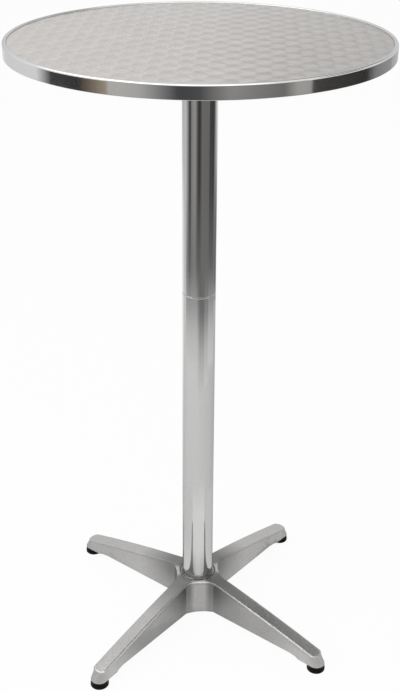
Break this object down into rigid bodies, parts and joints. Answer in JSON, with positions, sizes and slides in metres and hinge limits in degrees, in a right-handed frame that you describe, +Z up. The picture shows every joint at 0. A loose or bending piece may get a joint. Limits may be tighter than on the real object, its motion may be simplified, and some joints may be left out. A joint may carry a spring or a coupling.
{
  "type": "pub table",
  "caption": "Tall round bar table with a swirl-finished steel top in an aluminium rim, on a two-piece pole and a cast cross base with screw-in levelling feet.",
  "frame": {"origin": "on the floor, under the centre of the pole", "axes": "+Z up along the pole; the four legs lie along +X, +Y, -X and -Y"},
  "size_m": [0.6, 0.6, 1.1],
  "materials": {
    "swirl_steel": "stainless steel face with small overlapping machined swirls",
    "rim_aluminium": "polished, rolled",
    "tube_aluminium": "bright drawn tube",
    "cast_aluminium": "ground and polished casting",
    "board": "fibreboard",
    "backing": "dark backing laminate",
    "zinc_steel": "zinc plated",
    "black_plastic": "moulded, satin"
  },
  "bodies": {
    "table": {"top_sheet": "swirl_steel", "core_board": "board", "backing_sheet": "backing", "edge_rim": "rim_aluminium", "top_bracket": "cast_aluminium", "bracket_screws": "zinc_steel", "upper_tube": "tube_aluminium", "lower_tube": "tube_aluminium", "joint_sleeve": "tube_aluminium", "upper_tie_rod": "zinc_steel", "lower_tie_rod": "zinc_steel", "rod_coupling_nut": "zinc_steel", "base_casting": "cast_aluminium", "base_washer": "zinc_steel", "base_spring_washer": "zinc_steel", "base_nut": "zinc_steel", "foot_inserts": "zinc_steel"},
    "foot_1_washer": {"foot_washer_1": "black_plastic"},
    "foot_1": {"foot_pad_1": "black_plastic", "foot_stud_1": "zinc_steel"},
    "foot_2_washer": {"foot_washer_2": "black_plastic"},
    "foot_2": {"foot_pad_2": "black_plastic", "foot_stud_2": "zinc_steel"},
    "foot_3_washer": {"foot_washer_3": "black_plastic"},
    "foot_3": {"foot_pad_3": "black_plastic", "foot_stud_3": "zinc_steel"},
    "foot_4_washer": {"foot_washer_4": "black_plastic"},
    "foot_4": {"foot_pad_4": "black_plastic", "foot_stud_4": "zinc_steel"}
  },
  "joints": [
    {"name": "foot_1_height", "type": "slide", "parent": "table", "child": "foot_1_washer", "axis": [0, 0, -1], "range_m": [0, 0.0101]},
    {"name": "foot_1_turn", "type": "hinge", "parent": "foot_1_washer", "child": "foot_1", "pos_m": [0.278, 0, 0], "axis": [0, 0, -1], "range_deg": [0, 2880]},
    {"name": "foot_2_height", "type": "slide", "parent": "table", "child": "foot_2_washer", "axis": [0, 0, -1], "range_m": [0, 0.0101]},
    {"name": "foot_2_turn", "type": "hinge", "parent": "foot_2_washer", "child": "foot_2", "pos_m": [0, 0.278, 0], "axis": [0, 0, -1], "range_deg": [0, 2880]},
    {"name": "foot_3_height", "type": "slide", "parent": "table", "child": "foot_3_washer", "axis": [0, 0, -1], "range_m": [0, 0.0101]},
    {"name": "foot_3_turn", "type": "hinge", "parent": "foot_3_washer", "child": "foot_3", "pos_m": [-0.278, 0, 0], "axis": [0, 0, -1], "range_deg": [0, 2880]},
    {"name": "foot_4_height", "type": "slide", "parent": "table", "child": "foot_4_washer", "axis": [0, 0, -1], "range_m": [0, 0.0101]},
    {"name": "foot_4_turn", "type": "hinge", "parent": "foot_4_washer", "child": "foot_4", "pos_m": [0, -0.278, 0], "axis": [0, 0, -1], "range_deg": [0, 2880]}
  ],
  "couplings": [
    {"joint": "foot_1_height", "follows": "foot_1_turn", "m_per_rad": 0.00019894},
    {"joint": "foot_2_height", "follows": "foot_2_turn", "m_per_rad": 0.00019894},
    {"joint": "foot_3_height", "follows": "foot_3_turn", "m_per_rad": 0.00019894},
    {"joint": "foot_4_height", "follows": "foot_4_turn", "m_per_rad": 0.00019894}
  ]
}
